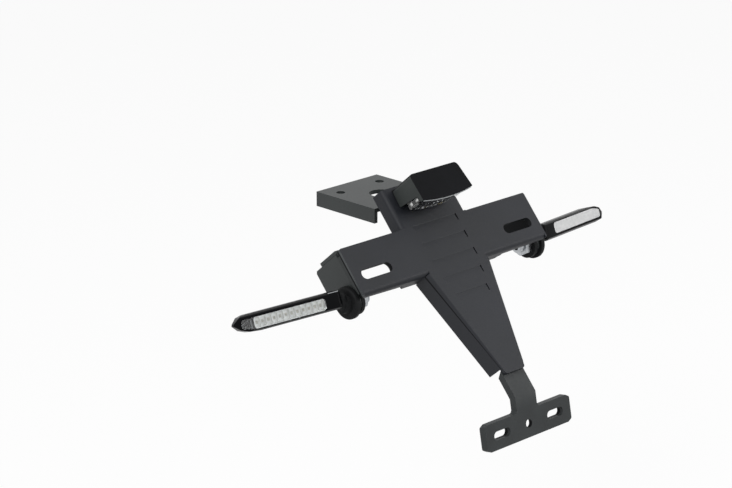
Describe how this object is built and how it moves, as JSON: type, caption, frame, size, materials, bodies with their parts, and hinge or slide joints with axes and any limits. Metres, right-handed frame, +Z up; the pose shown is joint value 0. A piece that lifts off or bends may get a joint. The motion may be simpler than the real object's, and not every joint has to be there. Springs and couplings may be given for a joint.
{
  "type": "tail tidy",
  "caption": "Folded black steel licence-plate carrier for a motorbike tail, with a stepped column, a moulded tee, a plate lamp and slim clear-lens indicators.",
  "frame": {"origin": "middle of the four tail bolt holes, on the top face of the mounting bracket's top plate", "axes": "+X to the vehicle's right, +Y to its front, +Z up, as fitted under the tail"},
  "size_m": [0.3752, 0.1856, 0.1787],
  "materials": {
    "carrier_steel": "fine-textured black powder coat",
    "bracket_steel": "satin black powder coat",
    "moulded_black": "matt moulded glass-filled nylon",
    "lamp_black": "satin moulded housing",
    "gloss_black": "polished moulded housing",
    "black_rubber": "matt rubber",
    "clear_lens": "clear moulded lens",
    "silver_reflector": "metallised moulding",
    "zinc": "bright zinc plate",
    "circuit_board": "white solder mask",
    "led_package": "yellow phosphor in a white package"
  },
  "bodies": {
    "root": {"carrier_plate": "carrier_steel", "indicator_bracket": "bracket_steel", "mounting_bracket": "bracket_steel", "lower_bracket": "moulded_black", "carrier_studs": "zinc", "carrier_washers": "zinc", "carrier_nuts": "zinc", "neck_studs": "zinc", "neck_washers": "zinc", "neck_nuts": "zinc", "lamp_gasket": "black_rubber", "lamp_housing": "lamp_black", "lamp_lens": "clear_lens", "lamp_board": "circuit_board", "lamp_leds": "led_package", "lamp_screws": "zinc", "lamp_washers": "zinc", "left_disc": "black_rubber", "left_hub": "black_rubber", "left_stem": "zinc", "left_stem_washer": "black_rubber", "left_stem_nut": "zinc", "left_housing": "gloss_black", "left_reflector": "silver_reflector", "left_board": "circuit_board", "left_lens": "clear_lens", "right_disc": "black_rubber", "right_hub": "black_rubber", "right_stem": "zinc", "right_stem_washer": "black_rubber", "right_stem_nut": "zinc", "right_housing": "gloss_black", "right_reflector": "silver_reflector", "right_board": "circuit_board", "right_lens": "clear_lens"}
  },
  "joints": []
}
